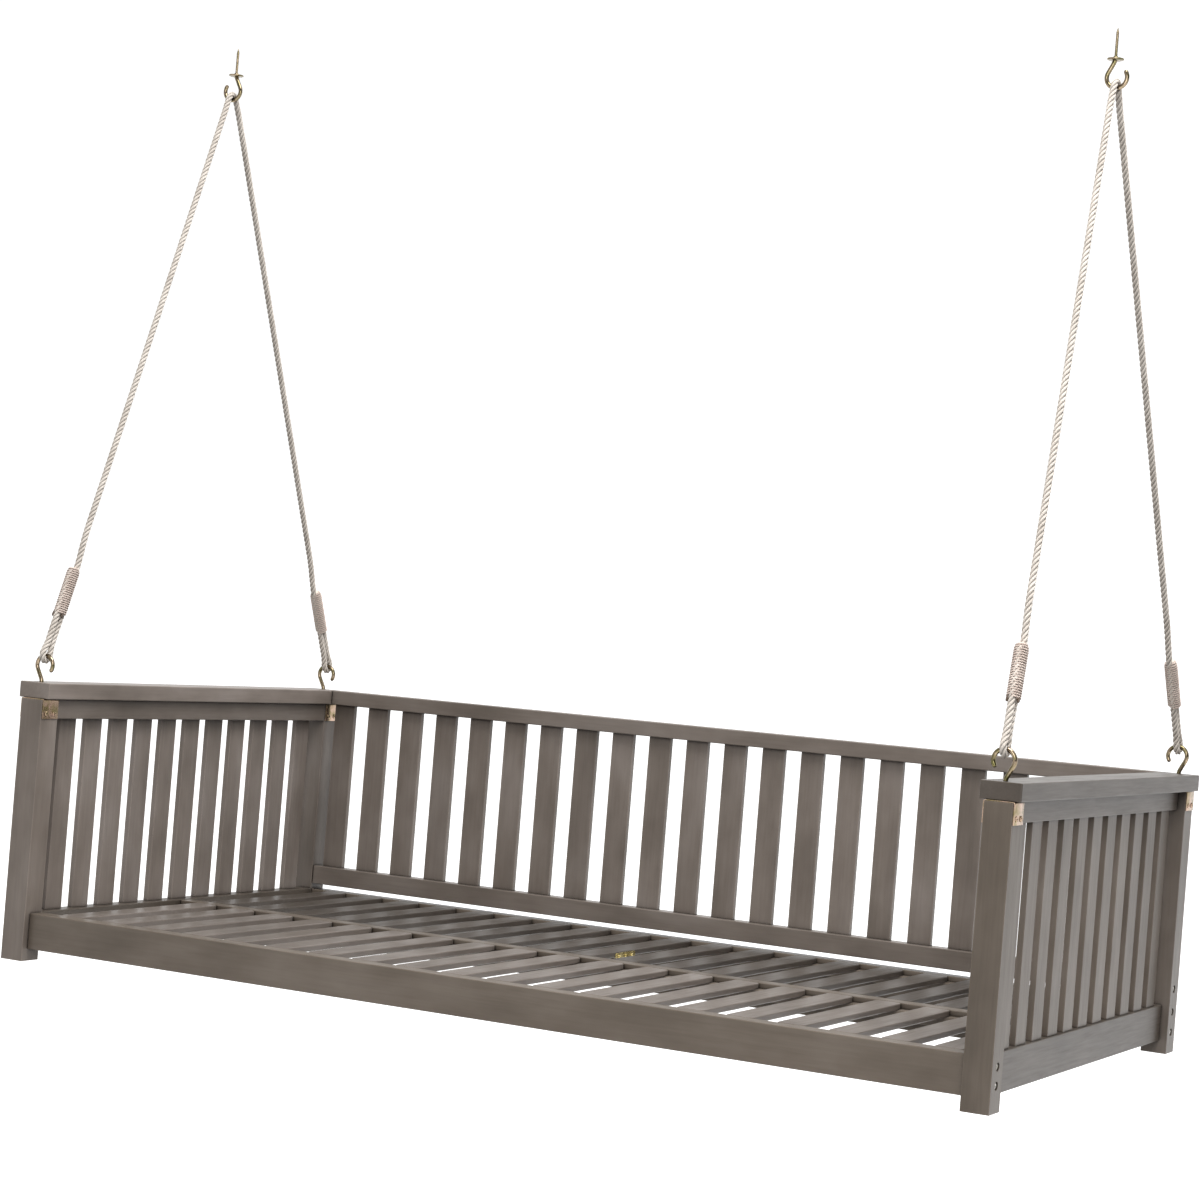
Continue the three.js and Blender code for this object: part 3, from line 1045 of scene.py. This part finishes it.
def add_seat_plate():
    """A zinc plate screwed to the side of a slat of the seat's back half."""
    x = SEAT_SLATS["first"] + (PLATE["slat"] - 1) * SEAT_SLATS["pitch"] + SLAT_WIDTH
    (y0, y1), (z0, z1), corner = PLATE["y"], PLATE["z"], PLATE["corner"]
    face_x = x + PLATE["thick"]
    outline = []
    for cy, cz, first in ((y1, z1, 0), (y0, z1, 90), (y0, z0, 180), (y1, z0, 270)):
        cy += corner if cy == y0 else -corner
        cz += corner if cz == z0 else -corner
        for i in range(7):
            a = math.radians(first + 15 * i)
            outline.append((cy + corner * math.cos(a), cz + corner * math.sin(a)))
    bm = bmesh.new()
    faces = [[bm.verts.new(at(near, y, z)) for y, z in outline] for near in (x, face_x)]
    for j in range(len(outline)):
        k = (j + 1) % len(outline)
        bm.faces.new((faces[0][j], faces[0][k], faces[1][k], faces[1][j]))
    for ring in faces:
        bm.faces.new(ring)
    plate = new_object("seat_plate", mesh_from("seat_plate", bm))
    soften(plate, 0.3, 60)
    give(plate, PLATE_ZINC)
    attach(plate, "bed")
    inset = PLATE_SCREWS["inset"]
    for number, y in enumerate((y0 + inset, (y0 + y1) / 2, y1 - inset), 1):
        place = at(face_x, y, PLATE_SCREWS["height"])
        add_head(f"plate_screw_{number}", place, Vector((1, 0, 0)), **PLATE_SCREW)


for side in SIDES:
    for row in ROWS:
        add_post_hardware(row, side)
add_seat_plate()


# ---------------------------------------------------------------- stage and light
def add_stage():
    """A pale floor that sweeps up behind the object."""
    floor, back, top = -2.35, 7.0, 9.0
    front, half_width, cove = -45.0, 45.0, 2.0
    bm = bmesh.new()
    profile = [(front, floor), (back - cove, floor)]
    for i in range(1, 13):
        a = math.pi / 2 * i / 12
        profile.append((back - cove + cove * math.sin(a), floor + cove - cove * math.cos(a)))
    profile.append((back, top))
    rows = [[bm.verts.new((x, y, z)) for y, z in profile] for x in (-half_width, half_width)]
    for i in range(len(profile) - 1):
        face = bm.faces.new((rows[0][i], rows[1][i], rows[1][i + 1], rows[0][i + 1]))
        face.smooth = True
    sweep = new_object("floor", mesh_from("floor", bm))
    n = Nodes("pale_floor")
    n.set(Base_Color=(0.93, 0.93, 0.93, 1), Roughness=0.9, Specular_IOR_Level=0.1)
    n.set(Emission_Color=(1, 1, 1, 1), Emission_Strength=0.52)
    give(sweep, n.material)
    # The object is shaded by the world's grey below the horizon, not by the floor's glow
    sweep.visible_diffuse = False


def add_light(name, place, target, size, power):
    """A round soft light, in metres and watts."""
    data = bpy.data.lights.new(name, "AREA")
    data.shape = "DISK"
    data.size = size
    data.energy = power
    light = bpy.data.objects.new(name, data)
    light.location = place
    aim = target - place
    light.rotation_euler = aim.to_track_quat("-Z", "Y").to_euler()
    scene.collection.objects.link(light)


def add_world():
    """White above the horizon and grey below it, with the unlit end of the studio low down at the
    front right."""
    world = bpy.data.worlds.new("studio")
    world.use_nodes = True
    nodes, links = world.node_tree.nodes, world.node_tree.links
    way = nodes.new("ShaderNodeTexCoord").outputs["Generated"]

    def lean(axis, start, end, interpolation):
        """0 where the way out leans by start along an axis, and 1 where it leans by end."""
        along = nodes.new("ShaderNodeVectorMath")
        along.operation = "DOT_PRODUCT"
        along.inputs[1].default_value = axis
        links.new(way, along.inputs[0])
        mask = nodes.new("ShaderNodeMapRange")
        mask.interpolation_type = interpolation
        mask.inputs["From Min"].default_value = start
        mask.inputs["From Max"].default_value = end
        links.new(along.outputs["Value"], mask.inputs["Value"])
        return mask.outputs[0]

    def mixed(factor):
        """The sockets for two colours and their mix."""
        mix = nodes.new("ShaderNodeMix")
        mix.data_type = "RGBA"
        links.new(factor, mix.inputs[0])
        return mix.inputs[6], mix.inputs[7], mix.outputs[2]

    unlit = nodes.new("ShaderNodeMath")
    unlit.operation = "MULTIPLY"
    links.new(lean((0.60, -0.80, 0), 0.15, 0.70, "SMOOTHSTEP"), unlit.inputs[0])
    links.new(lean((0, 0, 1), 0.62, 0.28, "SMOOTHSTEP"), unlit.inputs[1])
    lit_color, unlit_color, walls = mixed(unlit.outputs[0])
    lit_color.default_value = (1, 1, 1, 1)
    unlit_color.default_value = (0.16, 0.16, 0.16, 1)
    below_color, above_color, studio = mixed(lean((0, 0, 1), -0.35, -0.08, "LINEAR"))
    below_color.default_value = (0.24, 0.24, 0.24, 1)
    links.new(walls, above_color)
    background = nodes["Background"]
    background.inputs["Strength"].default_value = 1.0
    links.new(studio, background.inputs["Color"])
    scene.world = world


add_stage()
add_world()
middle = at(LENGTH / 2, DEPTH / 2, 300)
add_light("key", middle + Vector((1.7, -1.3, 4.8)), middle, 3.0, 250)
add_light("fill", middle + Vector((2.2, -4.6, 1.7)), middle, 2.6, 112)
